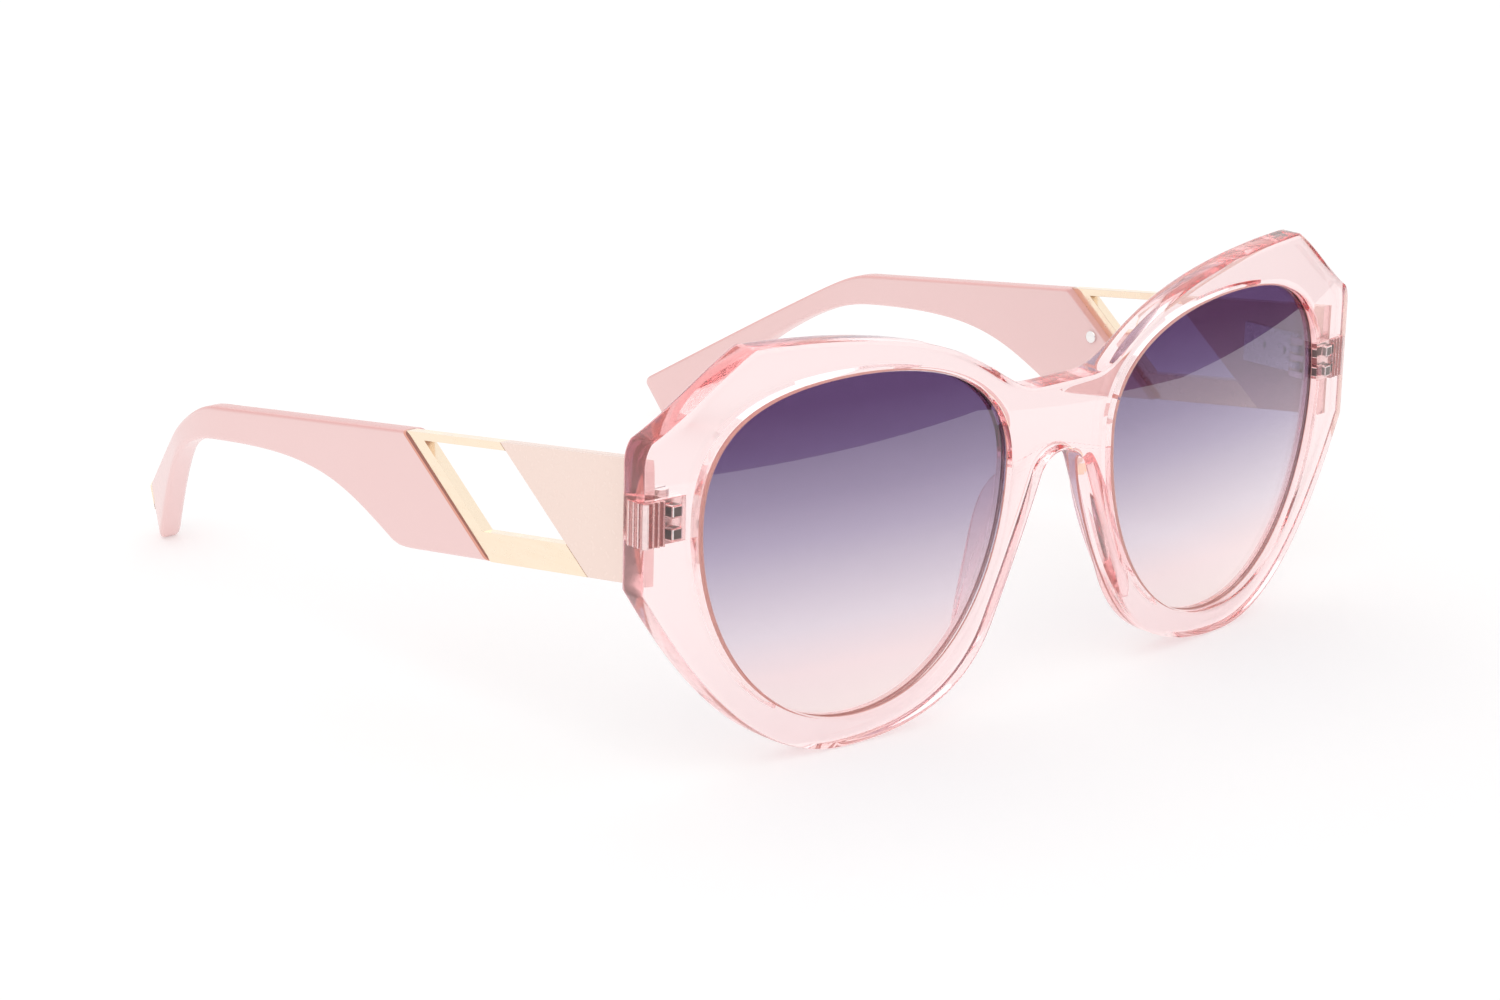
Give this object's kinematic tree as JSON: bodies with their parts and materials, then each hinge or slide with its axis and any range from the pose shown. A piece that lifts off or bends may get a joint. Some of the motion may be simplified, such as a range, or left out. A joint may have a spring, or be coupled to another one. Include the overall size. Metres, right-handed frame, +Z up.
{
  "type": "cat eye sunglasses",
  "caption": "Cat eye sunglasses with a clear acetate front, gradient lenses and folding metal and acetate temples with open windows.",
  "frame": {"origin": "under the middle of the open sunglasses' box, on the surface that the rims and temple tips stand on", "axes": "+X to the wearer's left, lenses face -Y, temples run to +Y, +Z up"},
  "size_m": [0.145, 0.1458, 0.0581],
  "materials": {
    "front_acetate": "polished translucent pink acetate",
    "lens_tint": "gradient tint, violet to pale peach",
    "clear_pad": "clear polished",
    "steel": "satin",
    "gold": "polished champagne gold plating",
    "enamel": "glossy peach lacquer",
    "rear_acetate": "polished dusty pink acetate"
  },
  "bodies": {
    "front": {"front_frame": "front_acetate", "lens_left": "lens_tint", "nose_pad_left": "clear_pad", "front_hinge_left": "steel", "hinge_prongs_left": "steel", "hinge_screw_left": "steel", "hinge_washers_left": "gold", "lens_right": "lens_tint", "nose_pad_right": "clear_pad", "front_hinge_right": "steel", "hinge_prongs_right": "steel", "hinge_screw_right": "steel", "hinge_washers_right": "gold"},
    "temple_left": {"temple_hinge_left": "steel", "hinge_rivets_left": "steel", "metal_plate_left": "gold", "enamel_panel_left": "enamel", "temple_rear_left": "rear_acetate", "core_wire_left": "steel", "seam_rivet_left": "steel", "tip_plate_left": "gold"},
    "temple_right": {"temple_hinge_right": "steel", "hinge_rivets_right": "steel", "metal_plate_right": "gold", "enamel_panel_right": "enamel", "temple_rear_right": "rear_acetate", "core_wire_right": "steel", "seam_rivet_right": "steel", "tip_plate_right": "gold"}
  },
  "joints": [
    {"name": "fold_left", "type": "hinge", "parent": "front", "child": "temple_left", "pos_m": [0.0662, -0.05979, 0.0362], "axis": [0, 0, 1], "range_deg": [0, 85]},
    {"name": "fold_right", "type": "hinge", "parent": "front", "child": "temple_right", "pos_m": [-0.0662, -0.05979, 0.0362], "axis": [0, 0, -1], "range_deg": [0, 67]}
  ]
}
